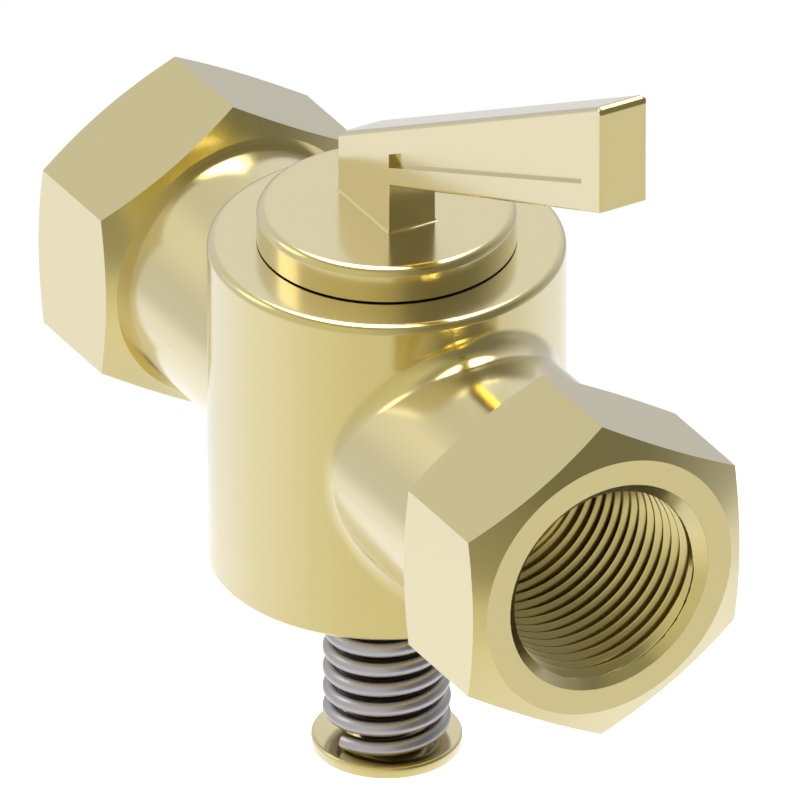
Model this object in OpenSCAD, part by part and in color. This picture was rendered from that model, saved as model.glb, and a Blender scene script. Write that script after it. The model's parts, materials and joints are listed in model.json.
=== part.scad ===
// Lever-operated taper plug valve with a spring-loaded plug and female pipe ends.
// The origin is where the pipe run crosses the plug axis. +X follows the pipe run to the outlet,
// and +Z follows the plug axis up to the lever. Sizes are in millimetres.

/* [Barrel] */
// Outside radius of the upright barrel
barrel_r = 21.1; // [20.5:0.1:22.5]
// Top of the barrel above the pipe run
barrel_top = 21; // [20.5:0.1:24]
// Bottom of the barrel below the pipe run
barrel_bottom = 21.35; // [20.5:0.05:24]
// Rounding of the barrel's top edge
barrel_round = 1; // [0.3:0.1:1.3]
// Bevel of the barrel's bottom edge
barrel_bevel = 0.3; // [0.1:0.1:0.8]

/* [Pipe ends] */
// Length over both pipe ends
run_length = 103.9; // [98:0.1:112]
// Width of each hexagon across its flats
hex_across_flats = 35.9; // [35:0.1:38]
// Length of each hexagon along the pipe run
hex_length = 17.25; // [14:0.25:19]
// Radius of the flat ring left on a hexagon's end face
hex_face_r = 16.45; // [16.2:0.05:17]
// Depth of the turned chamfer at the hexagon's corners
hex_chamfer = 1.76; // [0.8:0.02:2.4]
// Outside radius of the necks
neck_r = 15.8; // [14.8:0.1:16.1]
// Radius of the blend where a neck meets the barrel
blend_r = 2.8; // [1.5:0.1:3.5]
// Width of the flat ring between a neck and the chamfer of its hexagon
hex_back_ring = 0.95; // [0.4:0.05:1.2]

/* [Pipe thread] */
// Radius of the port at its mouth, which is the outside of the pipe thread
mouth_r = 13.3; // [12.8:0.05:13.6]
// Radius of the bored port before it is threaded
tapping_r = 11.8; // [11.2:0.05:12.2]
// Depth of the port from its face
port_depth = 28; // [22:0.1:28]
// Radius of the flow passage through the body and the plug
flow_r = 7; // [5.5:0.1:7.2]

/* [Taper seat] */
// Radius of the seat at the height of the pipe run
seat_r = 11; // [10.8:0.1:11.4]
// Taper of the seat on each side, in degrees
seat_taper = 3.5; // [2.5:0.1:4]
// Gap between the plug and its seat
seat_gap = 0.05; // [0.02:0.01:0.08]
// Thickness of the web below the seat
web_thickness = 4; // [3:0.25:5]
// Gap under the plug's small end
plug_end_gap = 0.6; // [0.3:0.1:1]

/* [Plug head and tail] */
// Radius of the round head on the plug
head_r = 15.3; // [15.1:0.1:17]
// Thickness of the head
head_height = 4.27; // [3.6:0.01:6]
// Rounding of the head's top edge
head_round = 1.1; // [0.3:0.1:1.5]
// Gap between the head and the barrel's top
head_gap = 0.2; // [0.1:0.05:0.4]
// Bevel that breaks the lower edge of the head and of the spring retainer
edge_break = 0.1; // [0.05:0.05:0.3]
// Radius of the tail that runs down through the spring
tail_r = 4.8; // [4.2:0.1:5]
// Gap between the tail and the hole in the web
tail_gap = 0.05; // [0.02:0.01:0.1]

/* [Lever] */
// Width of the square-cornered stem along the pipe run
stem_width = 11.92; // [10:0.1:14]
// Thickness of the stem and the lever
lever_thickness = 6.27; // [5:0.1:8]
// Size of the sloping foot between the stem and the head
foot_r = 0.3; // [0.1:0.05:0.5]
// Reach of the lever's tip from the plug axis
lever_reach = 54.8; // [45:0.1:70]
// Height of the lever's upper edge above the head, at its back
lever_back_height = 7.73; // [7:0.01:10]
// Height of the lever's lower edge above the head, where it leaves the stem
lever_root_height = 6.43; // [5.5:0.01:8]
// Slope of the lever's upper edge, in degrees
lever_top_slope = 28.85; // [25:0.05:32]
// Slope of the lever's lower edge, in degrees
lever_under_slope = 22.83; // [18:0.05:24]
// Rounding of the lever's upper edges
lever_round = 0.5; // [0.2:0.05:0.8]
// Rounding of the lever's lower edges
lever_under_round = 0.2; // [0.1:0.05:0.4]
// Depth of the pocket in each side of the lever
pocket_depth = 0.85; // [0.5:0.05:2]
// Distance of the pocket's end from the lever's tip
pocket_end = 4.2; // [3:0.1:8]
// Height of the pocket at its inner end
pocket_root_height = 1.81; // [1.2:0.01:2.2]
// Distance of the pocket's lower edge above the lever's lower edge, at the stem
pocket_rise = 2.44; // [1.8:0.01:3]
// Slope of the pocket's lower edge, in degrees
pocket_under_slope = 24.2; // [23:0.05:24.5]
// Slope of the pocket's upper edge, in degrees
pocket_top_slope = 28.85; // [27:0.05:29]

/* [Quarter-turn stop] */
// Radius of the stop pin pressed into the barrel's top
pin_r = 0.75; // [0.5:0.05:0.8]
// Distance of the stop pin from the plug axis
pin_circle_r = 13.85; // [13.7:0.05:13.95]
// Direction of the stop pin round the plug axis, in degrees
pin_direction = 135; // [100:5:170]
// Length of the stop pin above the barrel
pin_height = 1.9; // [1.6:0.1:2.2]
// Length of the stop pin in the barrel
pin_depth = 4; // [2:0.5:6]
// Gap between the stop pin and its groove
groove_gap = 0.15; // [0.05:0.05:0.2]

/* [Seals] */
// Thickness of each ring seal
seal_thickness = 1.8; // [1.4:0.1:2]
// Height of the upper ring seal above the pipe run
upper_seal_height = 13.5; // [11:0.5:16]
// Height of the lower ring seal, below the pipe run
lower_seal_height = 12; // [10.5:0.5:13]
// Gap between each ring seal and the seat
seal_gap = 0.1; // [0.05:0.05:0.2]
// Extra width of each seal's groove
seal_side_play = 0.3; // [0.1:0.05:0.5]
// Extra depth of each seal's groove
seal_back_play = 0.05; // [0.02:0.01:0.1]

/* [Spring] */
// Diameter of the spring's wire
wire_d = 2; // [1.6:0.1:2.1]
// Radius of the coil at the middle of the wire
coil_r = 6.6; // [6.4:0.1:7]
// Rise of the coil in each turn
coil_pitch = 2.7; // [2.4:0.1:4]
// Length of the spring as fitted
spring_length = 24.55; // [20:0.05:30]
// Direction of the wire's lower end, in degrees
wire_start = -78; // [-180:1:180]
// Gap between the spring and what it presses on
spring_gap = 0.02; // [0.01:0.01:0.05]

/* [Retainer and screw] */
// Outside radius of the spring retainer
retainer_r = 8.94; // [8.6:0.02:10]
// Thickness of the spring retainer
retainer_thickness = 1.45; // [1:0.05:2.5]
// Rounding of the retainer's top edge
retainer_round = 0.35; // [0.1:0.05:0.5]
// Gap between the retainer and the end of the tail
retainer_play = 0.1; // [0.05:0.05:0.3]
// Radius of the screw's head
screw_head_r = 4.6; // [4:0.1:5.5]
// Height of the screw's head
screw_head_height = 2.85; // [2:0.05:4]
// Rounding of the screw head's edge
screw_head_round = 0.8; // [0.3:0.1:1.2]
// Radius of the screw's shank
screw_r = 2.4; // [2:0.1:2.8]
// Length of the screw's shank in the tail
screw_grip = 12; // [8:0.5:16]
// Gap round the screw's shank
screw_gap = 0.05; // [0.02:0.01:0.1]
// Width of the screwdriver slot
slot_width = 1.2; // [0.8:0.1:1.6]
// Depth of the screwdriver slot
slot_depth = 1.3; // [0.8:0.1:1.8]

/* [Hidden] */
$fn = 96;
brass = [0.83, 0.76, 0.47];
steel = [0.70, 0.69, 0.70];
rubber = [0.08, 0.08, 0.08];
cut = 0.5;
lead_in = mouth_r - tapping_r;
hex_corner_r = hex_across_flats / 2 / cos(30);
hex_inner_x = run_length / 2 - hex_length;
port_end_x = run_length / 2 - port_depth;
seat_bottom = web_thickness - barrel_bottom;
head_bottom = barrel_top + head_gap;
head_top = head_bottom + head_height;
spring_top = -barrel_bottom - spring_gap;
spring_bottom = spring_top - spring_length + 2 * spring_gap;
retainer_top = spring_bottom - spring_gap;
retainer_bottom = retainer_top - retainer_thickness;
tail_end = retainer_top + retainer_play;
groove_half = pin_r + groove_gap;
groove_top = barrel_top + pin_height + groove_gap * 2;
lever_back_z = head_top + lever_back_height;
lever_root_z = head_top + lever_root_height;
blend_rings = 48;
blend_steps = 5;
blend_sink = 0.15;
wire_sides = 10;
rings_per_turn = 24;

// Radius of the seat at a height above the pipe run
function seat_at(z) = seat_r + z * tan(seat_taper);

// Radius of the plug at a height above the pipe run
function plug_at(z) = seat_at(z) - seat_gap / cos(seat_taper);

// Points of an arc in a turned profile
function arc(centre, r, from, to, steps = 6) =
    [for (i = [0:steps]) let (a = from + (to - from) * i / steps) centre + r * [cos(a), sin(a)]];

// A turned disc with a rounded top edge and a bevelled bottom edge
module turned_disc(r, bottom, top, round_top, bevel_bottom) {
    rotate_extrude()
        polygon(concat(
            [[0, bottom], [r - bevel_bottom, bottom], [r, bottom + bevel_bottom]],
            arc([r - round_top, top - round_top], round_top, 0, 90),
            [[0, top]]));
}

// The same solid on both pipe ends
module both_ends() {
    for (side = [0, 1])
        mirror([side, 0, 0]) children();
}

// A cylinder along the pipe run between two places
module run_cylinder(r, from, to) {
    translate([from, 0, 0]) rotate([0, 90, 0]) cylinder(r = r, h = to - from);
}

// Depth of a hexagon's turned chamfer outside the flat ring that it starts from
function chamfer_depth(from_r, r) = hex_chamfer * (r - from_r) / (hex_corner_r - hex_face_r);

// Hexagon with a chamfer turned on both of its ends
module hex_end() {
    over_r = hex_corner_r + 2 * cut;
    back_r = neck_r + hex_back_ring;
    translate([hex_inner_x, 0, 0]) rotate([0, 90, 0]) intersection() {
        cylinder(r = hex_corner_r, h = hex_length, $fn = 6);
        rotate_extrude()
            polygon([
                [0, 0], [back_r, 0], [over_r, chamfer_depth(back_r, over_r)],
                [over_r, hex_length - chamfer_depth(hex_face_r, over_r)],
                [hex_face_r, hex_length], [0, hex_length]
            ]);
    }
}

// Middle of the ball that rolls between the neck and the barrel, at an angle round the neck
function ball_centre(a) =
    let (y = (neck_r + blend_r) * cos(a), z = (neck_r + blend_r) * sin(a))
        [sqrt(pow(barrel_r + blend_r, 2) - y * y), y, z];

// Point of the blend's face, from the barrel at share 0 to the neck at share 1
function blend_point(a, share, r) =
    let (
        c = ball_centre(a),
        to_barrel = [-c[0], -c[1], 0] / (barrel_r + blend_r),
        to_neck = [0, -cos(a), -sin(a)],
        w = acos(to_barrel * to_neck)
    )
        c + r * (sin((1 - share) * w) * to_barrel + sin(share * w) * to_neck) / sin(w);

// One closed section through the blend, with its corner buried in the metal
function blend_section(a) =
    let (
        c = ball_centre(a),
        deep = blend_r + blend_sink,
        to_barrel = [-c[0], -c[1], 0] / (barrel_r + blend_r),
        to_neck = [0, -cos(a), -sin(a)]
    )
        concat(
            [blend_point(a, 0, deep)],
            [for (j = [1:blend_steps - 1]) blend_point(a, j / blend_steps, blend_r)],
            [blend_point(a, 1, deep), c + deep * (to_barrel + to_neck)]);

// Faces of a ring of closed sections that meets itself
function ring_faces(rings, sides) =
    [for (i = [0:rings - 1]) for (j = [0:sides - 1])
        let (next_i = (i + 1) % rings, next_j = (j + 1) % sides)
            [i * sides + j, i * sides + next_j, next_i * sides + next_j, next_i * sides + j]];

// Concave blend where a neck leaves the barrel
module neck_blend() {
    sections = [for (i = [0:blend_rings - 1]) blend_section(i * 360 / blend_rings)];
    polyhedron(
        points = [for (section = sections) for (p = section) p],
        faces = ring_faces(blend_rings, len(sections[0])),
        convexity = 6);
}

// Threaded port with a lead-in bevel, drilled for the pipe thread
module port_cut() {
    run_cylinder(tapping_r, port_end_x, run_length / 2 + cut);
    translate([run_length / 2 + cut, 0, 0]) rotate([0, -90, 0])
        cylinder(r1 = mouth_r + cut, r2 = tapping_r - cut, h = lead_in + 2 * cut);
}

// Cast and machined body: barrel, necks, hexagons, ports, taper seat and web
module valve_body() {
    color(brass) difference() {
        union() {
            turned_disc(barrel_r, -barrel_bottom, barrel_top, barrel_round, barrel_bevel);
            both_ends() {
                run_cylinder(neck_r, 0, hex_inner_x + cut);
                hex_end();
                neck_blend();
            }
        }
        both_ends() port_cut();
        run_cylinder(flow_r, -port_end_x - cut, port_end_x + cut);
        translate([0, 0, seat_bottom])
            cylinder(r1 = seat_at(seat_bottom), r2 = seat_at(barrel_top + cut),
                     h = barrel_top + cut - seat_bottom);
        translate([0, 0, -barrel_bottom - cut])
            cylinder(r = tail_r + tail_gap, h = web_thickness + 2 * cut);
        rotate(pin_direction) translate([pin_circle_r, 0, barrel_top - pin_depth])
            cylinder(r = pin_r, h = pin_depth + cut, $fn = 48);
    }
}

// Pin that stops the plug at open and at shut
module stop_pin() {
    color(steel) rotate(pin_direction) translate([pin_circle_r, 0, barrel_top - pin_depth])
        cylinder(r = pin_r, h = pin_depth + pin_height, $fn = 48);
}

// Quarter-turn groove under the head, in which the stop pin runs
module stop_groove() {
    depth = groove_top - head_bottom + cut;
    translate([0, 0, head_bottom - cut]) {
        rotate(pin_direction) rotate_extrude(angle = 90)
            translate([pin_circle_r - groove_half, 0]) square([2 * groove_half, depth]);
        for (a = [pin_direction, pin_direction + 90])
            rotate(a) translate([pin_circle_r, 0, 0]) cylinder(r = groove_half, h = depth, $fn = 48);
    }
}

// Height of a sloping edge of the lever at a distance from the plug axis
function edge_z(start_x, start_z, slope, x) = start_z + (x - start_x) * tan(slope);

// Height of the lever's upper edge
function lever_top_z(x) = edge_z(-stem_width / 2, lever_back_z, lever_top_slope, x);

// Height of the lever's lower edge
function lever_under_z(x) = edge_z(stem_width / 2, lever_root_z, lever_under_slope, x);

// Balls in the four corners along the lever's upper or lower edges
module lever_balls(r, upper) {
    side = lever_thickness / 2 - r;
    for (x = [r - stem_width / 2, lever_reach - r], y = [-side, side]) {
        z = upper ? lever_top_z(x) - r / cos(lever_top_slope)
                  : lever_under_z(x) + r / cos(lever_under_slope);
        translate([x, y, z]) sphere(r = r, $fn = 24);
    }
}

// Tapering arm of the lever, with its edges rounded
module lever_arm() {
    hull() {
        lever_balls(lever_round, true);
        lever_balls(lever_under_round, false);
    }
}

// Shallow pocket in the lever's side, cut between two heights across the lever
module lever_pocket(from_y, to_y) {
    near = stem_width / 2;
    far = lever_reach - pocket_end;
    low = lever_root_z + pocket_rise;
    high = low + pocket_root_height;
    translate([0, to_y, 0]) rotate([90, 0, 0]) linear_extrude(to_y - from_y)
        polygon([
            [near, low], [far, edge_z(near, low, pocket_under_slope, far)],
            [far, edge_z(near, high, pocket_top_slope, far)], [near, high]
        ]);
}

// Sloping foot that joins the stem to the head
module stem_foot() {
    translate([0, 0, head_top])
        for (turn = [0, 90])
            rotate([90, 0, turn]) linear_extrude(turn == 0 ? lever_thickness : stem_width, center = true) {
                half = (turn == 0 ? stem_width : lever_thickness) / 2;
                polygon([
                    [-half - foot_r, -foot_r], [half + foot_r, -foot_r], [half + foot_r, 0],
                    [half, foot_r], [-half, foot_r], [-half - foot_r, 0]
                ]);
            }
}

// Taper plug, round head, stem and lever, forged and machined in one piece
module plug_lever() {
    plug_bottom = seat_bottom + plug_end_gap;
    half = lever_thickness / 2;
    color(brass) difference() {
        union() {
            translate([0, 0, plug_bottom])
                cylinder(r1 = plug_at(plug_bottom), r2 = plug_at(head_bottom + cut),
                         h = head_bottom + cut - plug_bottom);
            turned_disc(head_r, head_bottom, head_top, head_round, edge_break);
            translate([0, 0, tail_end]) cylinder(r = tail_r, h = plug_bottom + cut - tail_end);
            translate([-stem_width / 2, -half, head_top - cut])
                cube([stem_width, lever_thickness, lever_root_height + cut]);
            stem_foot();
            lever_arm();
        }
        run_cylinder(flow_r, -head_r, head_r);
        stop_groove();
        seal_groove(upper_seal_height);
        seal_groove(-lower_seal_height);
        lever_pocket(-half - cut, pocket_depth - half);
        lever_pocket(half - pocket_depth, half + cut);
        translate([0, 0, tail_end - cut])
            cylinder(r = screw_r + screw_gap, h = screw_grip + 2 * cut, $fn = 48);
    }
}

// Groove for a ring seal round the plug
module seal_groove(z) {
    width = seal_thickness + seal_side_play;
    translate([0, 0, z - width / 2]) difference() {
        cylinder(r = seat_at(z) + cut, h = width);
        translate([0, 0, -cut])
            cylinder(r = seat_at(z) - seal_gap - seal_thickness - seal_back_play, h = width + 2 * cut);
    }
}

// Rubber ring seal on the plug
module ring_seal(z) {
    color(rubber) translate([0, 0, z]) rotate_extrude()
        translate([seat_at(z) - seal_gap - seal_thickness / 2, 0]) circle(d = seal_thickness, $fn = 48);
}

module upper_seal() {
    ring_seal(upper_seal_height);
}

module lower_seal() {
    ring_seal(-lower_seal_height);
}

// Open-coiled spring with plain cut ends, swept round its helix
module compression_spring() {
    rise = spring_top - spring_bottom - wire_d;
    turns = rise / coil_pitch;
    rings = ceil(turns * rings_per_turn);
    lean = atan(coil_pitch / (2 * PI * coil_r));
    points = [
        for (i = [0:rings])
            let (
                share = i / rings,
                a = wire_start + share * turns * 360,
                out = [cos(a), sin(a), 0],
                up = [sin(a) * sin(lean), -cos(a) * sin(lean), cos(lean)],
                middle = coil_r * out + [0, 0, spring_bottom + wire_d / 2 + share * rise]
            )
                for (j = [0:wire_sides - 1])
                    let (b = j * 360 / wire_sides)
                        middle + wire_d / 2 * (cos(b) * out + sin(b) * up)
    ];
    skin = [
        for (i = [0:rings - 1]) for (j = [0:wire_sides - 1])
            let (k = (j + 1) % wire_sides)
                [i * wire_sides + j, i * wire_sides + k, (i + 1) * wire_sides + k, (i + 1) * wire_sides + j]
    ];
    start_cap = [[for (j = [wire_sides - 1:-1:0]) j]];
    end_cap = [[for (j = [0:wire_sides - 1]) rings * wire_sides + j]];
    color(steel) polyhedron(points = points, faces = concat(skin, start_cap, end_cap), convexity = 12);
}

// Washer that carries the spring's lower end
module spring_retainer() {
    color(brass) difference() {
        turned_disc(retainer_r, retainer_bottom, retainer_top, retainer_round, edge_break);
        translate([0, 0, retainer_bottom - cut])
            cylinder(r = screw_r + 3 * screw_gap, h = retainer_thickness + 2 * cut, $fn = 48);
    }
}

// Slotted screw that holds the retainer on the tail
module retaining_screw() {
    color(brass) difference() {
        union() {
            translate([0, 0, retainer_bottom - screw_head_height])
                rotate_extrude() polygon(concat(
                    [[0, screw_head_height], [0, 0]],
                    arc([screw_head_r - screw_head_round, screw_head_round], screw_head_round, -90, 0),
                    [[screw_head_r, screw_head_height]]));
            translate([0, 0, retainer_bottom - cut])
                cylinder(r = screw_r, h = cut + retainer_thickness + retainer_play + screw_grip, $fn = 48);
        }
        translate([-screw_head_r - cut, -slot_width / 2, retainer_bottom - screw_head_height - cut])
            cube([2 * (screw_head_r + cut), slot_width, slot_depth + cut]);
    }
}

valve_body();
stop_pin();
plug_lever();
upper_seal();
lower_seal();
compression_spring();
spring_retainer();
retaining_screw();
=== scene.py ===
import json
import math

import bmesh
import bpy
from mathutils import Matrix, Vector


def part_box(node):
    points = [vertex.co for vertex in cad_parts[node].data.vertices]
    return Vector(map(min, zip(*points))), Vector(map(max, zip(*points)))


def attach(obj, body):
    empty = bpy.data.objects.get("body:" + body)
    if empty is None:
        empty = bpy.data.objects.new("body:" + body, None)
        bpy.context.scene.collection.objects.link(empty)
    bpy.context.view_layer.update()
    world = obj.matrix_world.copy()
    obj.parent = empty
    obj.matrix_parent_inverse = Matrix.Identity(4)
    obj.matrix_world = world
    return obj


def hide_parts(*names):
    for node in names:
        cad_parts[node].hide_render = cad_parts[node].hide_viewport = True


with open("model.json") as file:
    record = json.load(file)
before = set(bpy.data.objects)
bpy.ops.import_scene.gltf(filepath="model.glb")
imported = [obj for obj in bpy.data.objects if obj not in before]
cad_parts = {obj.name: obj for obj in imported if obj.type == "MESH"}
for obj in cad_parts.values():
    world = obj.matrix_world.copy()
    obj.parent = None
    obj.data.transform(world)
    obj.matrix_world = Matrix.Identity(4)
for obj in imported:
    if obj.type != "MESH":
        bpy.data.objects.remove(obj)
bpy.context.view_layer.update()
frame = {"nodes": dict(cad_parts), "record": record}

# Lengths below are in millimetres, and a mesh is brought to metres when it is made
MM = 0.001


def node_box(node):
    """Lowest and highest corner of a node in millimetres."""
    low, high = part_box(node)
    return Vector(low) / MM, Vector(high) / MM


# Sizes read from the frame
_, body_high = node_box("valve_body")
plug_low, plug_high = node_box("plug_lever")
spring_low, spring_high = node_box("compression_spring")
washer_low, washer_high = node_box("spring_retainer")
screw_low, screw_high = node_box("retaining_screw")
port = next(m for m in frame["record"]["mounts"] if m["name"] == "outlet_port")
run_half = body_high.x
barrel_r = body_high.y
lever_tip = plug_high.x
head_r = -plug_low.x
washer_r = washer_high.x
screw_head_r = screw_high.y
tapping_r = port["dims"]["r_mm"]
port_depth = run_half - port["pos_m"][0] / MM + port["dims"]["length_mm"] / 2

# Body sizes
BARREL_TOP = 21.0
BARREL_BOTTOM = -21.35
BARREL_ROUND = 1.0
BARREL_BEVEL = 0.3
NECK_R = 15.8
BLEND_R = 2.8
HEX_ACROSS_FLATS = 35.9
HEX_FLAT_R = HEX_ACROSS_FLATS / 2
HEX_CORNER_R = HEX_FLAT_R / math.cos(math.radians(30))
HEX_LENGTH = 17.25
HEX_FACE_R = 16.45
HEX_CHAMFER = 1.76
HEX_BACK_RING = 0.95
MOUTH_R = 13.3
FLOW_R = 7.0
SEAT_R = 11.0
SEAT_SLOPE = math.tan(math.radians(3.5))
WEB_THICKNESS = 4.0
SEAT_BOTTOM = BARREL_BOTTOM + WEB_THICKNESS
TAIL_HOLE_R = 4.85

# Pipe thread sizes. Crests and roots are flat over a share of the pitch. The groove opens from
# THREAD_START behind the mouth, over a share of the pitch, and fades out before the port's end.
THREAD_PITCH = 1.814
THREAD_DEPTH = 1.16
THREAD_FLAT = 1 / 8
THREAD_TAPER = 1 / 32
THREAD_START = 0.9
THREAD_OPENING = 0.35
THREAD_RUN_OUT = 2.2
THREAD_SHIFT = 0.17
# Turns wound before the mouth, which end up flat on it, and turns wound beyond the port's length in all
THREAD_LEAD_TURNS = 1.5
THREAD_EXTRA_TURNS = 2.0
# How far the back of a threaded liner stands in the body's wall
LINER_SINK = 0.03

# Plug and lever sizes
SEAT_GAP = 0.05
PLUG_END_GAP = 0.6
PLUG_BOTTOM = SEAT_BOTTOM + PLUG_END_GAP
# Height of plug wall above and below the cross port that is divided round the port
PORT_MARGIN = 1.5
HEAD_GAP = 0.2
HEAD_HEIGHT = 4.27
HEAD_BOTTOM = BARREL_TOP + HEAD_GAP
HEAD_TOP = HEAD_BOTTOM + HEAD_HEIGHT
HEAD_ROUND = 1.1
TAIL_R = 4.8
TAIL_END = -45.8
SEAL_HEIGHTS = (13.5, -12.0)
SEAL_GROOVE_WIDTH = 2.1
SEAL_GROOVE_DEPTH = 1.95
STEM_HALF = 5.96
LEVER_HALF = 3.135
LEVER_BACK_HEIGHT = 7.73
LEVER_ROOT_HEIGHT = 6.43
LEVER_BACK_Z = HEAD_TOP + LEVER_BACK_HEIGHT
LEVER_ROOT_Z = HEAD_TOP + LEVER_ROOT_HEIGHT
LEVER_TOP_SLOPE = math.tan(math.radians(28.85))
LEVER_UNDER_SLOPE = math.tan(math.radians(22.83))
POCKET_DEPTH = 0.85
POCKET_END = 50.6
POCKET_RISE = 2.44
POCKET_HEIGHT = 1.81
POCKET_LOW = LEVER_ROOT_Z + POCKET_RISE
POCKET_HIGH = POCKET_LOW + POCKET_HEIGHT
POCKET_UNDER_SLOPE = math.tan(math.radians(24.2))
POCKET_TOP_SLOPE = math.tan(math.radians(28.85))
FOOT_R = 0.35
# How far the rounding of each edge of the lever reaches on to its faces: along each side from corner
# to corner of its side view, and across it at a corner. The corners go clockwise from the stem's back foot.
ALONG_ROUNDS = {(0, 1): 0.1, (1, 2): 0.55, (2, 3): 0.2, (3, 4): 0.38, (4, 5): 0.1}
ACROSS_ROUNDS = {1: 0.24, 2: 1.35, 3: 0.15}

# Spring, retainer and screw sizes
WIRE_R = 1.0
COIL_R = 6.6
COIL_PITCH = 2.7
WIRE_START = math.radians(-78)
WASHER_ROUND = 0.35
WASHER_UNDER_ROUND = 0.15
WASHER_HOLE_GAP = 0.15
SCREW_R = 2.4
SCREW_ROUND = 0.8
SLOT_WIDTH = 1.2
SLOT_DEPTH = 1.3
# How far the slot's cutter reaches out of the screw's head
SLOT_MARGIN = 1.0

# How finely the round forms are divided
RING_POINTS = 288
WALL_STEPS = 30
BORE_STEPS = 8
BLEND_STEPS = 12
NECK_STEPS = 4
HEX_STEPS = 2
HEAD_ROUND_STEPS = 10
ROUND_STEPS = 8
SMALL_ROUND_STEPS = 6
WASHER_POINTS = 160
SCREW_POINTS = 96
# Points closer than this become one
WELD = 0.002
# Edges that turn by more degrees than this stay sharp
SHARP = 17
THREAD_SHARP = 22


# Mesh helpers
def arc(centre, radius, start, end, steps):
    """Points of an arc in a plane, in order, from one angle in degrees to another."""
    angles = [math.radians(start + (end - start) * i / steps) for i in range(steps + 1)]
    return [(centre[0] + radius * math.cos(a), centre[1] + radius * math.sin(a)) for a in angles]


class Skin:
    """Rows of points joined into one welded mesh."""

    def __init__(self):
        self.points = []
        self.faces = []

    def rows(self, rows):
        """Joins each row of points to the next. The rows are closed."""
        start = len(self.points)
        width = len(rows[0])
        for row in rows:
            self.points.extend(Vector(p) * MM for p in row)
        for i in range(len(rows) - 1):
            for j in range(width):
                k = (j + 1) % width
                a, b = start + i * width, start + (i + 1) * width
                self.faces.append((a + j, a + k, b + k, b + j))

    def cap(self, row):
        """Closes a flat outline with one face."""
        start = len(self.points)
        self.points.extend(Vector(p) * MM for p in row)
        self.faces.append(tuple(range(start, start + len(row))))

    def bmesh(self):
        """The welded shape, with every face outwards."""
        bm = bmesh.new()
        verts = [bm.verts.new(p) for p in self.points]
        for face in self.faces:
            bm.faces.new([verts[i] for i in face])
        bmesh.ops.remove_doubles(bm, verts=bm.verts, dist=WELD * MM)
        bmesh.ops.recalc_face_normals(bm, faces=bm.faces)
        return bm


def smooth(mesh, sharp):
    """Shades a mesh smooth, but for the edges that turn by more degrees than sharp."""
    mesh.shade_smooth()
    mesh.set_sharp_from_angle(angle=math.radians(sharp))


def mesh_piece(name, bm, material, sharp=SHARP):
    """A piece from a bmesh, smooth but for its edges."""
    mesh = bpy.data.meshes.new(name)
    bm.to_mesh(mesh)
    bm.free()
    mesh.materials.append(material)
    smooth(mesh, sharp)
    piece = bpy.data.objects.new(name, mesh)
    bpy.context.scene.collection.objects.link(piece)
    return piece


def bake_modifiers(piece):
    """Turns a piece's modifiers into its plain mesh."""
    depsgraph = bpy.context.evaluated_depsgraph_get()
    mesh = bpy.data.meshes.new_from_object(
        piece.evaluated_get(depsgraph), preserve_all_data_layers=True, depsgraph=depsgraph
    )
    piece.modifiers.clear()
    old = piece.data
    piece.data = mesh
    if old.users == 0:
        bpy.data.meshes.remove(old)
    mesh.name = piece.name


def even_normals(piece):
    """Keeps flat faces flat beside small rounded edges."""
    modifier = piece.modifiers.new("Even normals", "WEIGHTED_NORMAL")
    modifier.keep_sharp = True
    bake_modifiers(piece)


def taken_bmesh(helper):
    """The mesh of a helper object, which is deleted."""
    bm = bmesh.new()
    bm.from_mesh(helper.data)
    bpy.data.objects.remove(helper)
    return bm


def turned_rows(profile, angles):
    """Rows round the plug axis for a profile of radius and height."""
    return [[(r * math.cos(a), r * math.sin(a), z) for a in angles] for r, z in profile]


def even_angles(count):
    """Angles of evenly spaced points round a circle."""
    return [2 * math.pi * i / count for i in range(count)]


def hex_radius(angle):
    """Distance from the pipe run to the hexagon at an angle. Its corners lie above and below."""
    sixth = math.radians(60)
    return HEX_FLAT_R / math.cos((angle + sixth / 2) % sixth - sixth / 2)


# Directions round the pipe run at which the body's rings have points, and where each meets the border
# of half a wall: the side's number, from 0 to 3, plus the share of that side
RING = [math.radians(360 * i / RING_POINTS) for i in range(RING_POINTS)]
SIDES = [(a + math.pi / 4) % (2 * math.pi) / (math.pi / 2) for a in RING]


def edge_of_wall(side, low, high):
    """Place on the border of half a wall, as an angle round the plug axis and a height."""
    quarter = math.pi / 2
    part = side % 1
    if side < 1:
        return quarter, low + (high - low) * part
    if side < 2:
        return quarter - 2 * quarter * part, high
    if side < 3:
        return -quarter, high + (low - high) * part
    return -quarter + 2 * quarter * part, low


def around(sides, first):
    """Angles round the whole axis of the points that both half walls have on one border."""
    quarter = math.pi / 2
    half = [edge_of_wall(s, 0, 1)[0] for s in sides if first <= s <= first + 1]
    half = sorted(set(round(a, 9) for a in half) | {-quarter, quarter})
    return half + [math.pi - a for a in reversed(half[1:-1])]


# Directions round the plug axis at which the walls' upper and lower borders have points
TOP_ANGLES = around(SIDES, 1)
BOTTOM_ANGLES = around(SIDES, 3)


def wall_rows(radius_at, hole, low, high, steps, end):
    """Rows from a hole's rim to the border of half a round wall. end is 1 or -1 along the pipe run."""
    rows = []
    for i in range(steps + 1):
        share = i / steps
        row = []
        for (hole_angle, hole_z), side in zip(hole, SIDES):
            edge_angle, edge_height = edge_of_wall(side, low, high)
            a = hole_angle + (edge_angle - hole_angle) * share
            z = hole_z + (edge_height - hole_z) * share
            r = radius_at(z)
            row.append((end * r * math.cos(a), r * math.sin(a), z))
        rows.append(row)
    return rows


def round_hole(radius, radius_at):
    """Rim of a hole along the pipe run through a round wall."""
    rim = []
    for a in RING:
        y, z = radius * math.cos(a), radius * math.sin(a)
        rim.append((math.asin(y / radius_at(z)), z))
    return rim


def rim_points(rim, radius_at, end):
    """A hole's rim as points."""
    return [
        (end * radius_at(z) * math.cos(a), radius_at(z) * math.sin(a), z) for a, z in rim
    ]


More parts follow.
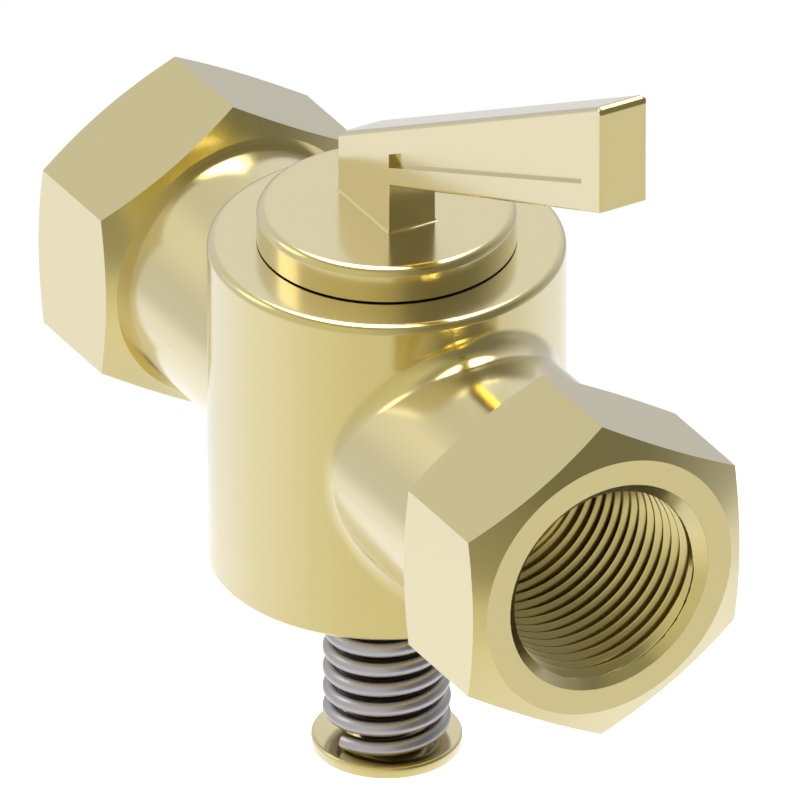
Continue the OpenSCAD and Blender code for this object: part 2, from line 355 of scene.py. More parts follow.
def ring(x, radius_at, end):
    """A ring of points across the pipe run. radius_at gives a radius for each angle."""
    return [(end * x, radius_at(a) * math.cos(a), radius_at(a) * math.sin(a)) for a in RING]


# Node helpers
def group_input(tree, name, kind, value):
    """Adds a named input to a node group, with its value."""
    socket = tree.interface.new_socket(name=name, in_out="INPUT", socket_type=kind)
    socket.default_value = value


def math_node(tree, operation, *values):
    """A Math node whose inputs are numbers or sockets, as its output socket."""
    node = tree.nodes.new("ShaderNodeMath")
    node.operation = operation
    for i, value in enumerate(values):
        if isinstance(value, (int, float)):
            node.inputs[i].default_value = value
        else:
            tree.links.new(value, node.inputs[i])
    return node.outputs[0]


def blend_colours(tree, share, first, second):
    """A Mix node of two colours, each a socket, a colour or a level of grey, as its output socket."""
    node = tree.nodes.new("ShaderNodeMix")
    node.data_type = "RGBA"
    tree.links.new(share, node.inputs[0])
    for socket, value in ((6, first), (7, second)):
        if isinstance(value, (int, float)):
            value = (value, value, value)
        if isinstance(value, tuple):
            node.inputs[socket].default_value = (*value, 1)
        else:
            tree.links.new(value, node.inputs[socket])
    return node.outputs[2]


# Valve body
def seat_radius(z):
    """Radius of the taper seat at a height."""
    return SEAT_R + z * SEAT_SLOPE


def barrel_radius(_):
    """Radius of the barrel, the same at every height."""
    return barrel_r


def blend_parts(a):
    """Middle of the rolling ball between neck and barrel, and its two directions of contact."""
    y, z = (NECK_R + BLEND_R) * math.cos(a), (NECK_R + BLEND_R) * math.sin(a)
    middle = Vector((math.sqrt((barrel_r + BLEND_R) ** 2 - y * y), y, z))
    to_barrel = -Vector((middle.x, middle.y, 0)) / (barrel_r + BLEND_R)
    to_neck = Vector((0, -math.cos(a), -math.sin(a)))
    return middle, to_barrel, to_neck


def blend_row(share, end):
    """Row of the blend from the barrel at share 0 to the neck at share 1."""
    row = []
    for a in RING:
        middle, to_barrel, to_neck = blend_parts(a)
        way = to_barrel.slerp(to_neck, share)
        p = middle + BLEND_R * way
        row.append((end * p.x, p.y, p.z))
    return row


def blend_rim():
    """Rim of the blend on the barrel, as angle and height."""
    rim = []
    for a in RING:
        middle, to_barrel, _ = blend_parts(a)
        p = middle + BLEND_R * to_barrel
        rim.append((math.atan2(p.y, p.x), p.z))
    return rim


def pipe_end_rows(end):
    """Rows from the barrel out along a neck, over its hexagon and back in to the flow bore."""
    inner_x = run_half - HEX_LENGTH
    back_r = NECK_R + HEX_BACK_RING
    slope = HEX_CHAMFER / (HEX_CORNER_R - HEX_FACE_R)
    rows = [blend_row(i / BLEND_STEPS, end) for i in range(BLEND_STEPS + 1)]
    neck_start = [blend_parts(a)[0].x for a in RING]
    for i in range(1, NECK_STEPS + 1):
        share = i / NECK_STEPS
        rows.append([
            (end * (x + (inner_x - x) * share), NECK_R * math.cos(a), NECK_R * math.sin(a))
            for x, a in zip(neck_start, RING)
        ])
    rows.append(ring(inner_x, lambda a: back_r, end))
    for i in range(HEX_STEPS + 1):
        share = i / HEX_STEPS
        row = []
        for a in RING:
            r = hex_radius(a)
            start = inner_x + (r - back_r) * slope
            stop = run_half - (r - HEX_FACE_R) * slope
            row.append((end * (start + (stop - start) * share), r * math.cos(a), r * math.sin(a)))
        rows.append(row)
    rows.append(ring(run_half, lambda a: HEX_FACE_R, end))
    rows.append(ring(run_half, lambda a: MOUTH_R, end))
    rows.append(ring(run_half - port_depth, lambda a: MOUTH_R, end))
    rows.append(ring(run_half - port_depth, lambda a: FLOW_R, end))
    rows.append(rim_points(round_hole(FLOW_R, seat_radius), seat_radius, end))
    return rows


def valve_body_piece(material):
    """Barrel, necks, hexagons, plain ports and taper seat in one casting."""
    skin = Skin()
    wall_top, wall_bottom = BARREL_TOP - BARREL_ROUND, BARREL_BOTTOM + BARREL_BEVEL
    flow_hole = round_hole(FLOW_R, seat_radius)
    for end in (1, -1):
        skin.rows(wall_rows(barrel_radius, blend_rim(), wall_bottom, wall_top, WALL_STEPS, end))
        skin.rows(pipe_end_rows(end))
        skin.rows(wall_rows(seat_radius, flow_hole, SEAT_BOTTOM, BARREL_TOP, BORE_STEPS, end))
    top = arc((barrel_r - BARREL_ROUND, wall_top), BARREL_ROUND, 0, 90, ROUND_STEPS)
    skin.rows(turned_rows(top + [(seat_radius(BARREL_TOP), BARREL_TOP)], TOP_ANGLES))
    bottom = [
        (barrel_r, wall_bottom), (barrel_r - BARREL_BEVEL, BARREL_BOTTOM), (TAIL_HOLE_R, BARREL_BOTTOM),
        (TAIL_HOLE_R, SEAT_BOTTOM), (seat_radius(SEAT_BOTTOM), SEAT_BOTTOM),
    ]
    skin.rows(turned_rows(bottom, BOTTOM_ANGLES))
    piece = mesh_piece("cast_body", skin.bmesh(), material)
    even_normals(piece)
    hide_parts("valve_body")
    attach(piece, "body")


# Pipe threads
def thread_tree(material):
    """Tree that winds one thread form round the pipe run, from beyond the mouth to the port's end."""
    tree = bpy.data.node_groups.new("Pipe thread", "GeometryNodeTree")
    for name, value in (
        ("Pitch", THREAD_PITCH * MM), ("Crest radius", tapping_r * MM), ("Depth", THREAD_DEPTH * MM),
        ("Taper", THREAD_TAPER), ("Mouth radius", MOUTH_R * MM), ("Length", port_depth * MM),
        ("Run-out", THREAD_RUN_OUT * MM), ("Start", THREAD_START * MM), ("Shift", THREAD_SHIFT * MM),
    ):
        group_input(tree, name, "NodeSocketFloat", value)
    group_input(tree, "Steps per turn", "NodeSocketInt", 96)
    group_input(tree, "Steps across", "NodeSocketInt", 24)
    tree.interface.new_socket(name="Geometry", in_out="OUTPUT", socket_type="NodeSocketGeometry")
    links = tree.links
    given = tree.nodes.new("NodeGroupInput").outputs
    out = tree.nodes.new("NodeGroupOutput")

    def calc(operation, *values):
        return math_node(tree, operation, *values)

    port_turns = calc("DIVIDE", given["Length"], given["Pitch"])
    turns = calc("CEIL", calc("ADD", port_turns, THREAD_EXTRA_TURNS))
    steps = calc("MULTIPLY", turns, given["Steps per turn"])
    grid = tree.nodes.new("GeometryNodeMeshGrid")
    grid.inputs["Size X"].default_value = 1
    grid.inputs["Size Y"].default_value = 1
    links.new(calc("ADD", steps, 1), grid.inputs["Vertices X"])
    links.new(calc("ADD", given["Steps across"], 1), grid.inputs["Vertices Y"])
    place = tree.nodes.new("GeometryNodeInputPosition")
    split = tree.nodes.new("ShaderNodeSeparateXYZ")
    links.new(place.outputs[0], split.inputs[0])
    along = calc("MULTIPLY", calc("ADD", split.outputs["X"], 0.5), turns)
    across = calc("ADD", split.outputs["Y"], 0.5)
    turns_in = calc("SUBTRACT", along, THREAD_LEAD_TURNS)
    turn_start = calc("ADD", calc("MULTIPLY", turns_in, given["Pitch"]), given["Shift"])
    depth_in = calc("ADD", turn_start, calc("MULTIPLY", across, given["Pitch"]))
    depth_in = calc("MINIMUM", calc("MAXIMUM", depth_in, 0.0), given["Length"])
    groove_place = calc("ADD", turn_start, calc("MULTIPLY", calc("ROUND", across), given["Pitch"]))
    opening = calc("MULTIPLY", given["Pitch"], THREAD_OPENING)
    begun = calc("DIVIDE", calc("SUBTRACT", groove_place, given["Start"]), opening)
    begun = calc("MINIMUM", calc("MAXIMUM", begun, 0.0), 1.0)
    wave = calc("ABSOLUTE", calc("SUBTRACT", calc("MULTIPLY", across, 2.0), 1.0))
    form = tree.nodes.new("ShaderNodeMapRange")
    form.inputs["From Min"].default_value = THREAD_FLAT
    form.inputs["From Max"].default_value = 1 - THREAD_FLAT
    links.new(wave, form.inputs["Value"])
    left = calc("SUBTRACT", given["Length"], depth_in)
    fade = calc("MINIMUM", calc("DIVIDE", left, given["Run-out"]), 1.0)
    fade = calc("MULTIPLY", fade, begun)
    groove = calc("MULTIPLY", calc("MULTIPLY", form.outputs["Result"], given["Depth"]), fade)
    radius = calc("SUBTRACT", given["Crest radius"], calc("MULTIPLY", depth_in, given["Taper"]))
    radius = calc("ADD", radius, groove)
    radius = calc("MAXIMUM", radius, calc("SUBTRACT", given["Mouth radius"], depth_in))
    angle = calc("MULTIPLY", along, -2 * math.pi)
    position = tree.nodes.new("ShaderNodeCombineXYZ")
    links.new(calc("MULTIPLY", depth_in, -1.0), position.inputs["X"])
    links.new(calc("MULTIPLY", radius, calc("COSINE", angle)), position.inputs["Y"])
    links.new(calc("MULTIPLY", radius, calc("SINE", angle)), position.inputs["Z"])
    move = tree.nodes.new("GeometryNodeSetPosition")
    links.new(grid.outputs["Mesh"], move.inputs["Geometry"])
    links.new(position.outputs[0], move.inputs["Position"])
    weld = tree.nodes.new("GeometryNodeMergeByDistance")
    weld.inputs["Distance"].default_value = WELD * MM
    links.new(move.outputs[0], weld.inputs["Geometry"])
    realize = tree.nodes.new("GeometryNodeRealizeInstances")
    links.new(weld.outputs[0], realize.inputs[0])
    finish = tree.nodes.new("GeometryNodeSetMaterial")
    finish.inputs["Material"].default_value = material
    links.new(realize.outputs[0], finish.inputs["Geometry"])
    links.new(finish.outputs[0], out.inputs[0])
    return tree


def grown(name, tree):
    """The mesh that a Geometry Nodes tree makes with the values its inputs have."""
    helper = bpy.data.objects.new(name, bpy.data.meshes.new(name))
    bpy.context.scene.collection.objects.link(helper)
    modifier = helper.modifiers.new(name, "NODES")
    modifier.node_group = tree
    bake_modifiers(helper)
    return taken_bmesh(helper)


def thread_piece(name, tree, end, material):
    """A threaded liner in one port: the wound thread, closed by a plain wall behind it."""
    bm = grown(name, tree)
    back_r = (MOUTH_R + LINER_SINK) * MM
    rim = [e for e in bm.edges if len(e.link_faces) == 1]
    grown_rim = bmesh.ops.extrude_edge_only(bm, edges=rim)["geom"]
    for v in (g for g in grown_rim if isinstance(g, bmesh.types.BMVert)):
        v.co.yz = v.co.yz.normalized() * back_r
    back = [e for e in bm.edges if len(e.link_faces) == 1]
    bmesh.ops.bridge_loops(bm, edges=back)
    bmesh.ops.recalc_face_normals(bm, faces=bm.faces)
    turn = Matrix.Identity(4) if end > 0 else Matrix.Rotation(math.pi, 4, "Z")
    bm.transform(turn @ Matrix.Translation((run_half * MM, 0, 0)))
    piece = mesh_piece(name, bm, material, sharp=THREAD_SHARP)
    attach(piece, "body")


# Plug, head, stem and lever
def plug_radius(z):
    """Radius of the taper plug at a height."""
    return seat_radius(z) - SEAT_GAP


def seal_groove(height):
    """Profile of a seal's groove round the plug, upwards."""
    low, high = height - SEAL_GROOVE_WIDTH / 2, height + SEAL_GROOVE_WIDTH / 2
    floor_r = seat_radius(height) - SEAL_GROOVE_DEPTH
    return [(plug_radius(low), low), (floor_r, low), (floor_r, high), (plug_radius(high), high)]


def plug_shell(skin):
    """Taper plug with its cross port, seal grooves, head and tail."""
    wall_low, wall_high = -FLOW_R - PORT_MARGIN, FLOW_R + PORT_MARGIN
    hole = round_hole(FLOW_R, plug_radius)
    for end in (1, -1):
        skin.rows(wall_rows(plug_radius, hole, wall_low, wall_high, BORE_STEPS, end))
    skin.rows([rim_points(hole, plug_radius, end) for end in (1, -1)])
    head = arc((head_r - HEAD_ROUND, HEAD_TOP - HEAD_ROUND), HEAD_ROUND, 0, 90, HEAD_ROUND_STEPS)
    upper = [(plug_radius(wall_high), wall_high)] + seal_groove(SEAL_HEIGHTS[0])
    upper += [(plug_radius(HEAD_BOTTOM), HEAD_BOTTOM), (head_r, HEAD_BOTTOM)] + head + [(0, HEAD_TOP)]
    skin.rows(turned_rows(upper, TOP_ANGLES))
    lower = [
        (0, TAIL_END), (TAIL_R, TAIL_END), (TAIL_R, PLUG_BOTTOM), (plug_radius(PLUG_BOTTOM), PLUG_BOTTOM)
    ]
    lower += seal_groove(SEAL_HEIGHTS[1]) + [(plug_radius(wall_low), wall_low)]
    skin.rows(turned_rows(lower, BOTTOM_ANGLES))


def stem_outline(grow):
    """Corners of the stem's foot, grown outwards."""
    x, y = STEM_HALF + grow, LEVER_HALF + grow
    return [(x, y), (-x, y), (-x, -y), (x, -y)]


def foot_shell(skin):
    """Small concave foot between the stem and the head."""
    rows = [[(x, y, HEAD_TOP - FOOT_R) for x, y in stem_outline(-FOOT_R)]]
    rows.append([(x, y, HEAD_TOP - FOOT_R) for x, y in stem_outline(FOOT_R)])
    for out, up in arc((FOOT_R, FOOT_R), FOOT_R, 270, 180, SMALL_ROUND_STEPS):
        rows.append([(x, y, HEAD_TOP + up) for x, y in stem_outline(out)])
    rows.append([(x, y, HEAD_TOP + FOOT_R) for x, y in stem_outline(-FOOT_R)])
    skin.rows(rows + rows[:1])


def lever_outline():
    """Side view of the stem and lever, clockwise from the stem's back foot."""
    foot = HEAD_TOP - FOOT_R
    tip_top = LEVER_BACK_Z + (lever_tip + STEM_HALF) * LEVER_TOP_SLOPE
    tip_low = LEVER_ROOT_Z + (lever_tip - STEM_HALF) * LEVER_UNDER_SLOPE
    return [
        (-STEM_HALF, foot), (-STEM_HALF, LEVER_BACK_Z), (lever_tip, tip_top),
        (lever_tip, tip_low), (STEM_HALF, LEVER_ROOT_Z), (STEM_HALF, foot),
    ]


def pocket_outline():
    """Side view of a pocket: near low, near high, far high and far low."""
    length = POCKET_END - STEM_HALF
    return [
        (STEM_HALF, POCKET_LOW), (STEM_HALF, POCKET_HIGH),
        (POCKET_END, POCKET_HIGH + length * POCKET_TOP_SLOPE),
        (POCKET_END, POCKET_LOW + length * POCKET_UNDER_SLOPE),
    ]


def lever_bmesh():
    """Stem and lever as one solid with rounded edges and a pocket in each side."""
    bm = bmesh.new()

    def loop(outline, y):
        return [bm.verts.new(Vector((x, y, z)) * MM) for x, z in outline]

    sides = {}
    for side in (-1, 1):
        outer = loop(lever_outline(), side * LEVER_HALF)
        rim = loop(pocket_outline(), side * LEVER_HALF)
        floor = loop(pocket_outline(), side * (LEVER_HALF - POCKET_DEPTH))
        bm.faces.new([outer[1], outer[2], rim[2], rim[1]])
        bm.faces.new([outer[2], outer[3], rim[3], rim[2]])
        bm.faces.new([outer[3], outer[4], rim[0], rim[3]])
        bm.faces.new([outer[0], outer[1], rim[1], rim[0], outer[4], outer[5]])
        for i in range(4):
            bm.faces.new([rim[i], rim[(i + 1) % 4], floor[(i + 1) % 4], floor[i]])
        bm.faces.new(floor)
        sides[side] = outer
    for i in range(6):
        k = (i + 1) % 6
        bm.faces.new([sides[-1][i], sides[-1][k], sides[1][k], sides[1][i]])
    bmesh.ops.recalc_face_normals(bm, faces=bm.faces)
    weight = bm.edges.layers.float.new("bevel_weight_edge")
    widest = max(*ALONG_ROUNDS.values(), *ACROSS_ROUNDS.values())
    for (i, k), reach in ALONG_ROUNDS.items():
        for outer in sides.values():
            bm.edges.get((outer[i], outer[k]))[weight] = reach / widest
    for i, reach in ACROSS_ROUNDS.items():
        bm.edges.get((sides[-1][i], sides[1][i]))[weight] = reach / widest
    mesh = bpy.data.meshes.new("lever")
    bm.to_mesh(mesh)
    bm.free()
    lever = bpy.data.objects.new("lever", mesh)
    bpy.context.scene.collection.objects.link(lever)
    modifier = lever.modifiers.new("Rounded edges", "BEVEL")
    modifier.limit_method = "WEIGHT"
    modifier.width = widest * MM
    modifier.segments = 7
    modifier.loop_slide = False
    bake_modifiers(lever)
    return taken_bmesh(lever)


def plug_lever_piece(material):
    """Plug, head, stem and lever in one forging."""
    skin = Skin()
    plug_shell(skin)
    bm = skin.bmesh()
    foot = Skin()
    foot_shell(foot)
    for extra in (foot.bmesh(), lever_bmesh()):
        part = bpy.data.meshes.new("part")
        extra.to_mesh(part)
        extra.free()
        bm.from_mesh(part)
        bpy.data.meshes.remove(part)
    piece = mesh_piece("plug_and_lever", bm, material)
    even_normals(piece)
    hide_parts("plug_lever")
    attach(piece, "plug")


# Spring
def spring_tree(material):
    """Tree that winds round wire into an open coil with plain cut ends."""
    tree = bpy.data.node_groups.new("Coil spring", "GeometryNodeTree")
    rise = (spring_high.z - spring_low.z - 2 * WIRE_R) * MM
    for name, value in (
        ("Coil radius", COIL_R * MM), ("Wire radius", WIRE_R * MM), ("Rise", rise),
        ("Pitch", COIL_PITCH * MM), ("Start angle", WIRE_START), ("Bottom", (spring_low.z + WIRE_R) * MM),
    ):
        group_input(tree, name, "NodeSocketFloat", value)
    tree.interface.new_socket(name="Geometry", in_out="OUTPUT", socket_type="NodeSocketGeometry")
    links = tree.links
    given = tree.nodes.new("NodeGroupInput").outputs
    out = tree.nodes.new("NodeGroupOutput")
    coil = tree.nodes.new("GeometryNodeCurveSpiral")
    coil.inputs["Resolution"].default_value = 96
    links.new(math_node(tree, "DIVIDE", given["Rise"], given["Pitch"]), coil.inputs["Rotations"])
    links.new(given["Coil radius"], coil.inputs["Start Radius"])
    links.new(given["Coil radius"], coil.inputs["End Radius"])
    links.new(given["Rise"], coil.inputs["Height"])
    coil.inputs["Reverse"].default_value = True
    wire = tree.nodes.new("GeometryNodeCurvePrimitiveCircle")
    wire.inputs["Resolution"].default_value = 24
    links.new(given["Wire radius"], wire.inputs["Radius"])
    sweep = tree.nodes.new("GeometryNodeCurveToMesh")
    sweep.inputs["Fill Caps"].default_value = True
    links.new(coil.outputs[0], sweep.inputs["Curve"])
    links.new(wire.outputs[0], sweep.inputs["Profile Curve"])
    place = tree.nodes.new("GeometryNodeTransform")
    up = tree.nodes.new("ShaderNodeCombineXYZ")
    links.new(given["Bottom"], up.inputs["Z"])
    turn = tree.nodes.new("ShaderNodeCombineXYZ")
    links.new(given["Start angle"], turn.inputs["Z"])
    links.new(sweep.outputs[0], place.inputs["Geometry"])
    links.new(up.outputs[0], place.inputs["Translation"])
    links.new(turn.outputs[0], place.inputs["Rotation"])
    realize = tree.nodes.new("GeometryNodeRealizeInstances")
    links.new(place.outputs[0], realize.inputs[0])
    finish = tree.nodes.new("GeometryNodeSetMaterial")
    finish.inputs["Material"].default_value = material
    links.new(realize.outputs[0], finish.inputs["Geometry"])
    links.new(finish.outputs[0], out.inputs[0])
    return tree


def spring_piece(material):
    """Open coil spring, which rides with the washer."""
    bm = grown("wound_spring", spring_tree(material))
    bmesh.ops.recalc_face_normals(bm, faces=bm.faces)
    piece = mesh_piece("wound_spring", bm, material)
    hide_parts("compression_spring")
    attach(piece, "spring_carrier")


# Retainer and screw
def retainer_piece(material):
    """Washer with rounded edges."""
    skin = Skin()
    hole_r = SCREW_R + WASHER_HOLE_GAP
    top_r, top_z = washer_r - WASHER_ROUND, washer_high.z - WASHER_ROUND
    low_r, low_z = washer_r - WASHER_UNDER_ROUND, washer_low.z + WASHER_UNDER_ROUND
    top = arc((top_r, top_z), WASHER_ROUND, 90, 0, SMALL_ROUND_STEPS)
    low = arc((low_r, low_z), WASHER_UNDER_ROUND, 0, -90, SMALL_ROUND_STEPS)
    profile = [(hole_r, washer_high.z)] + top + low + [(hole_r, washer_low.z)]
    skin.rows(turned_rows(profile + profile[:1], even_angles(WASHER_POINTS)))
    piece = mesh_piece("retainer_washer", skin.bmesh(), material)
    even_normals(piece)
    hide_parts("spring_retainer")
    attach(piece, "spring_carrier")


def screw_piece(material):
    """Screw with a slot cut across its rounded head."""
    skin = Skin()
    under = washer_low.z
    edge = arc((screw_head_r - SCREW_ROUND, screw_low.z + SCREW_ROUND), SCREW_ROUND, -90, 0, ROUND_STEPS)
    profile = [(0, screw_low.z)] + edge + [
        (screw_head_r, under), (SCREW_R, under), (SCREW_R, screw_high.z), (0, screw_high.z)
    ]
    skin.rows(turned_rows(profile, even_angles(SCREW_POINTS)))
    piece = mesh_piece("retainer_screw", skin.bmesh(), material)
    half, deep = SLOT_WIDTH / 2, screw_low.z + SLOT_DEPTH
    wide, out = screw_head_r + SLOT_MARGIN, screw_low.z - SLOT_MARGIN
    ends = [
        [(x, -half, out), (x, half, out), (x, half, deep), (x, -half, deep)] for x in (-wide, wide)
    ]
    slot = Skin()
    slot.rows(ends)
    for end in ends:
        slot.cap(end)
    cutter = mesh_piece("slot_cutter", slot.bmesh(), material)
    modifier = piece.modifiers.new("Slot", "BOOLEAN")
    modifier.operation = "DIFFERENCE"
    modifier.solver = "EXACT"
    modifier.object = cutter
    bake_modifiers(piece)
    bpy.data.objects.remove(cutter)
    smooth(piece.data, SHARP)
    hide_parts("retaining_screw")
    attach(piece, "plug")


# Materials
BRASS = (0.68, 0.565, 0.205)
BRASS_WORN = (0.66, 0.54, 0.19)
BRASS_PAINTED_SHADE = (0.10, 0.08, 0.03)
# Painted shade: dark brass for the tail where it shows between the spring's coils
STEEL = (0.50, 0.475, 0.48)
STEEL_WORN = (0.44, 0.42, 0.42)
RUBBER = (0.02, 0.02, 0.02)
RUBBER_WORN = (0.05, 0.05, 0.05)
# Slow drift of colour and polish, and the fine grain
DRIFT_SCALE = 55
DRIFT_DETAIL = 3
GRAIN_DETAIL = 2
GRAIN_DEPTH = 0.01
# Where lacquer starts to shine and where it shines in full, from 0 seen square on to 1 seen edge on
LACQUER_START = 0.07
LACQUER_FULL = 0.60
LACQUER_IOR = 4.0
# How much rougher brass is under the painted shade on the tail between the spring's coils
PAINTED_SHADE_ROUGHNESS = 0.3


def surface_group():
    """Shared finish: slow drift of colour and polish, and a very fine grain."""
    tree = bpy.data.node_groups.new("Metal finish", "ShaderNodeTree")
    for name, kind, value in (
        ("Colour", "NodeSocketColor", (0.8, 0.8, 0.8, 1)),
        ("Worn colour", "NodeSocketColor", (0.8, 0.8, 0.8, 1)),
        ("Colour drift", "NodeSocketFloat", 0.2), ("Roughness", "NodeSocketFloat", 0.15),
        ("Roughness drift", "NodeSocketFloat", 0.03), ("Grain scale", "NodeSocketFloat", 900.0),
        ("Grain height", "NodeSocketFloat", 0.02), ("Squeeze", "NodeSocketVector", (1, 1, 1)),
    ):
        group_input(tree, name, kind, value)
    for name, kind in (
        ("Colour", "NodeSocketColor"), ("Roughness", "NodeSocketFloat"), ("Normal", "NodeSocketVector")
    ):
        tree.interface.new_socket(name=name, in_out="OUTPUT", socket_type=kind)
    links = tree.links
    given = tree.nodes.new("NodeGroupInput").outputs
    out = tree.nodes.new("NodeGroupOutput")
    place = tree.nodes.new("ShaderNodeTexCoord")
    slow = tree.nodes.new("ShaderNodeTexNoise")
    slow.inputs["Scale"].default_value = DRIFT_SCALE
    slow.inputs["Detail"].default_value = DRIFT_DETAIL
    links.new(place.outputs["Object"], slow.inputs["Vector"])
    drift = math_node(tree, "MULTIPLY", slow.outputs["Fac"], given["Colour drift"])
    links.new(blend_colours(tree, drift, given["Colour"], given["Worn colour"]), out.inputs["Colour"])
    squeeze = tree.nodes.new("ShaderNodeVectorMath")
    squeeze.operation = "MULTIPLY"
    links.new(place.outputs["Object"], squeeze.inputs[0])
    links.new(given["Squeeze"], squeeze.inputs[1])
    grain = tree.nodes.new("ShaderNodeTexNoise")
    grain.inputs["Detail"].default_value = GRAIN_DETAIL
    links.new(squeeze.outputs[0], grain.inputs["Vector"])
    links.new(given["Grain scale"], grain.inputs["Scale"])
    centred = math_node(tree, "SUBTRACT", slow.outputs["Fac"], 0.5)
    rough = math_node(tree, "MULTIPLY", centred, given["Roughness drift"])
    links.new(math_node(tree, "ADD", given["Roughness"], rough), out.inputs["Roughness"])
    bump = tree.nodes.new("ShaderNodeBump")
    bump.inputs["Distance"].default_value = GRAIN_DEPTH * MM
    links.new(given["Grain height"], bump.inputs["Strength"])
    links.new(grain.outputs["Fac"], bump.inputs["Height"])
    links.new(bump.outputs[0], out.inputs["Normal"])
    return tree


FINISH = surface_group()


def finished(name, colour, worn, roughness, drift, grain, squeeze=(1, 1, 1)):
    """A material with the shared finish, and its shader. squeeze narrows the grain along each axis."""
    material = bpy.data.materials.new(name)
    material.use_nodes = True
    nodes, links = material.node_tree.nodes, material.node_tree.links
    finish = nodes.new("ShaderNodeGroup")
    finish.node_tree = FINISH
    for socket, value in (
        ("Colour", (*colour, 1)), ("Worn colour", (*worn, 1)), ("Colour drift", drift),
        ("Roughness", roughness), ("Grain height", grain), ("Squeeze", squeeze),
    ):
        finish.inputs[socket].default_value = value
    shader = nodes["Principled BSDF"]
    links.new(finish.outputs["Colour"], shader.inputs["Base Color"])
    links.new(finish.outputs["Roughness"], shader.inputs["Roughness"])
    links.new(finish.outputs["Normal"], shader.inputs["Normal"])
    return material, shader


def add_lacquer(tree, shader, roughness):
    """Adds clear lacquer, which shines more at a glancing angle."""
    glance = tree.nodes.new("ShaderNodeLayerWeight")
    glance.inputs["Blend"].default_value = 0.5
    lacquer = tree.nodes.new("ShaderNodeMapRange")
    lacquer.inputs["From Min"].default_value = LACQUER_START
    lacquer.inputs["From Max"].default_value = LACQUER_FULL
    tree.links.new(glance.outputs["Facing"], lacquer.inputs["Value"])
    tree.links.new(lacquer.outputs["Result"], shader.inputs["Coat Weight"])
    shader.inputs["Coat IOR"].default_value = LACQUER_IOR
    shader.inputs["Coat Roughness"].default_value = roughness


def add_painted_shade(tree, shader, low, high):
    """Paints shade on lacquered brass between two heights: darker, duller and without lacquer, so that the
    tail goes dark where it shows between the spring's coils.
    """
    place = tree.nodes.new("ShaderNodeTexCoord")
    split = tree.nodes.new("ShaderNodeSeparateXYZ")
    tree.links.new(place.outputs["Object"], split.inputs[0])
    middle, reach = (high + low) / 2, (high - low) / 2
    # Mask of the painted shade, between the two heights
    shade_mask = math_node(tree, "COMPARE", split.outputs["Z"], middle * MM, reach * MM)
    unshaded = math_node(tree, "SUBTRACT", 1.0, shade_mask)
    colour, roughness, coat = (
        shader.inputs[name].links[0].from_socket for name in ("Base Color", "Roughness", "Coat Weight")
    )
    dull = math_node(tree, "MULTIPLY_ADD", shade_mask, PAINTED_SHADE_ROUGHNESS, roughness)
    tree.links.new(blend_colours(tree, shade_mask, colour, BRASS_PAINTED_SHADE), shader.inputs["Base Color"])
    tree.links.new(dull, shader.inputs["Roughness"])
    tree.links.new(math_node(tree, "MULTIPLY", coat, unshaded), shader.inputs["Coat Weight"])


def brass(name, roughness, painted_shade_heights=None):
    """Lacquered brass. Between the two given heights, painted shade makes it dark and dull."""
    material, shader = finished(name, BRASS, BRASS_WORN, roughness, drift=0.15, grain=0.05)
    shader.inputs["Metallic"].default_value = 1
    add_lacquer(material.node_tree, shader, roughness)
    if painted_shade_heights:
        add_painted_shade(material.node_tree, shader, *painted_shade_heights)
    return material


def steel(name, roughness, grain, squeeze=(1, 1, 1)):
    """Bare steel. Squeezed upwards, the grain of a spring runs along its wire."""
    material, shader = finished(name, STEEL, STEEL_WORN, roughness, drift=0.3, grain=grain, squeeze=squeeze)
    shader.inputs["Metallic"].default_value = 1
    return material


body_brass = brass("body_brass", roughness=0.17)
# Painted shade darkens and dulls the tail inside the spring, where it shows between the coils
plug_brass = brass("plug_brass", roughness=0.17, painted_shade_heights=(spring_low.z + 2 * WIRE_R, BARREL_BOTTOM))
trim_brass = brass("trim_brass", roughness=0.15)
spring_steel = steel("spring_steel", roughness=0.3, grain=0.15, squeeze=(1, 1, 4))
pin_steel = steel("pin_steel", roughness=0.25, grain=0.1)
seal_rubber, _ = finished("seal_rubber", RUBBER, RUBBER_WORN, roughness=0.6, drift=0.2, grain=0.02)


# The object
valve_body_piece(body_brass)
thread = thread_tree(body_brass)
thread_piece("outlet_thread", thread, 1, body_brass)
thread_piece("inlet_thread", thread, -1, body_brass)
plug_lever_piece(plug_brass)
spring_piece(spring_steel)
retainer_piece(trim_brass)
screw_piece(trim_brass)
for node, material in (("stop_pin", pin_steel), ("upper_seal", seal_rubber), ("lower_seal", seal_rubber)):
    for slot in frame["nodes"][node].material_slots:
        slot.material = material


# Camera: a long lens stands in for the photograph's parallel view. With a much longer one, views from
# other sides come out blank, because the valve is then beyond their clipping distance.
FRAME_WIDTH = 93.9
LENS = 1700.0
SENSOR = 36.0
AZIMUTH, ELEVATION = math.radians(60.09), math.radians(30.147)
AIM = Vector((1.114, 1.155, -0.671))
camera_data = bpy.data.cameras.new("camera")
camera_data.lens = LENS
camera_data.sensor_width = SENSOR
camera_data.clip_start = 1
camera_data.clip_end = 100
camera = bpy.data.objects.new("camera", camera_data)
bpy.context.scene.collection.objects.link(camera)
back = Vector((
    math.sin(AZIMUTH) * math.cos(ELEVATION), -math.cos(AZIMUTH) * math.cos(ELEVATION), math.sin(ELEVATION)
))
camera.location = (AIM + back * FRAME_WIDTH * LENS / SENSOR) * MM
camera.rotation_euler = back.to_track_quat("Z", "Y").to_euler()
bpy.context.scene.camera = camera
bpy.context.scene.view_settings.view_transform = "Standard"


# Floor: a round white table well below the valve, seen through from underneath
FLOOR_Z = -200 * MM
FLOOR_R = 330 * MM
FLOOR_GREY = 0.74
FLOOR_GLOW_TO_CAMERA = 0.45


